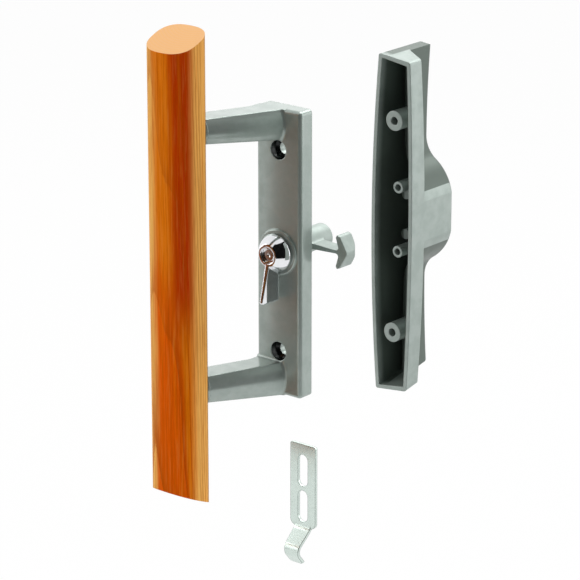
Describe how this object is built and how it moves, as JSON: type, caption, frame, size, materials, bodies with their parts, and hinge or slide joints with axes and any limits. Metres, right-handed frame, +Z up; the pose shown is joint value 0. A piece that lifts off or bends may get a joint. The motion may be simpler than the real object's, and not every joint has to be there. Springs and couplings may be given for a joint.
{
  "type": "sliding door handle set",
  "caption": "Sliding door handle set: inside plate with a wooden grip on two arms, thumb lever that turns a double-barbed hook, hollow outside pull and slotted keeper.",
  "frame": {"origin": "on the door's inner face, on the lock axis, midway between the inside plate's two fixing holes", "axes": "+X along the door towards the jamb, +Y through the door to the outside, +Z up"},
  "size_m": [0.1286, 0.0886, 0.2704],
  "materials": {
    "painted_casting": "satin grey paint on a zinc die casting",
    "grip_wood": "clear satin lacquer on a red-brown hardwood",
    "chrome": "bright chrome plating",
    "plated_steel": "bright zinc plating"
  },
  "bodies": {
    "handle_set": {"inside_frame": "painted_casting", "wood_grip": "grip_wood", "grip_screw_upper": "plated_steel", "grip_screw_lower": "plated_steel", "lever_washer": "plated_steel", "spring_washer": "plated_steel", "outside_pull": "painted_casting", "keeper": "plated_steel"},
    "lock": {"thumb_lever": "chrome", "spindle": "plated_steel", "retaining_clip": "plated_steel", "latch_hook": "painted_casting"}
  },
  "joints": [
    {"name": "lock_turn", "type": "hinge", "parent": "handle_set", "child": "lock", "pos_m": [0, 0, 0], "axis": [0, 1, 0], "range_deg": [-90, 90]}
  ]
}
